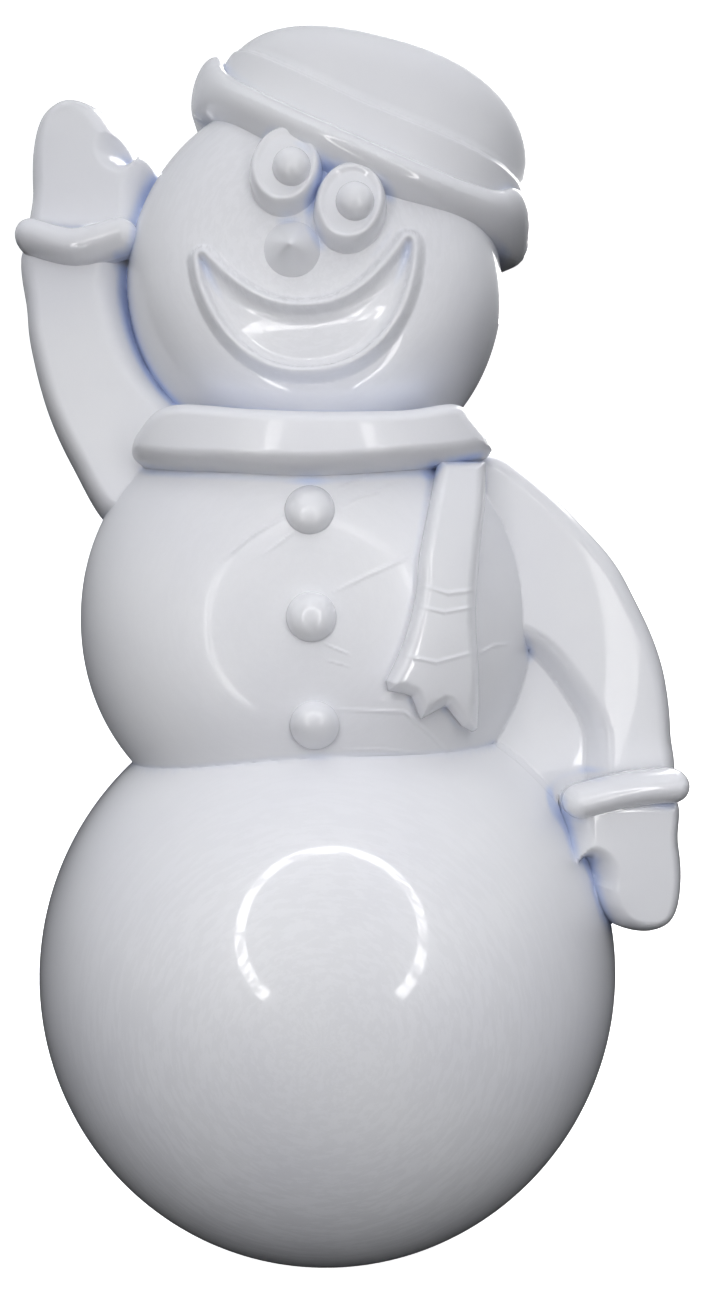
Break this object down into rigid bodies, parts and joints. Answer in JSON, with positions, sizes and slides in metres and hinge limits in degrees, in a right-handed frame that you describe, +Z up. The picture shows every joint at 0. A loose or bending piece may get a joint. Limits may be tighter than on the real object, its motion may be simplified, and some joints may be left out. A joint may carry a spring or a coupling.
{
  "type": "half-relief snowman display figure",
  "caption": "Half-relief snowman figure in glossy formed white plastic, with hat, scarf and a raised arm, on a flat back panel with a folding rear leg and a hanging ring.",
  "frame": {"origin": "on the ground, at the middle of the object's footprint box", "axes": "+Z up, -Y towards the front of the figure, +X to the right of someone facing it"},
  "size_m": [0.3782, 0.2986, 0.6765],
  "materials": {
    "shell_plastic": "glossy formed sheet with faint stretch marks",
    "panel_plastic": "satin flat sheet",
    "tube_paint": "light grey powder coat",
    "zinc_steel": "zinc plated",
    "foot_rubber": "matt moulded rubber"
  },
  "bodies": {
    "figure": {"ball_shell": "shell_plastic", "torso_shell": "shell_plastic", "head_shell": "shell_plastic", "hat_crown": "shell_plastic", "hat_band": "shell_plastic", "hat_brim": "shell_plastic", "scarf_collar": "shell_plastic", "scarf_tail": "shell_plastic", "right_arm": "shell_plastic", "right_cuff": "shell_plastic", "right_mitten": "shell_plastic", "left_arm": "shell_plastic", "left_cuff": "shell_plastic", "left_mitten": "shell_plastic", "arm_web": "shell_plastic", "right_eye": "shell_plastic", "left_eye": "shell_plastic", "right_pupil": "shell_plastic", "left_pupil": "shell_plastic", "nose_cone": "shell_plastic", "button_top": "shell_plastic", "button_middle": "shell_plastic", "button_bottom": "shell_plastic", "back_panel": "panel_plastic", "hinge_bracket_left": "zinc_steel", "hinge_bracket_right": "zinc_steel", "hinge_rod": "zinc_steel", "bracket_rivet_upper_left": "zinc_steel", "bracket_rivet_lower_left": "zinc_steel", "bracket_rivet_upper_right": "zinc_steel", "bracket_rivet_lower_right": "zinc_steel", "hanger_plate": "zinc_steel", "hanger_rivet_left": "zinc_steel", "hanger_rivet_right": "zinc_steel"},
    "leg": {"leg_bar": "tube_paint", "leg_brace": "tube_paint", "leg_tube_left": "tube_paint", "leg_tube_right": "tube_paint", "foot_tip_left": "foot_rubber", "foot_tip_right": "foot_rubber"},
    "hanger": {"hanger_ring": "zinc_steel"}
  },
  "joints": [
    {"name": "leg_fold", "type": "hinge", "parent": "figure", "child": "leg", "pos_m": [-0.01428, 0.06225, 0.40099], "axis": [-1, 0, 0], "range_deg": [0, 25]},
    {"name": "hanger_swing", "type": "hinge", "parent": "figure", "child": "hanger", "pos_m": [-0.01428, 0.09853, 0.56715], "axis": [1, 0, 0], "range_deg": [-20, 160]}
  ]
}
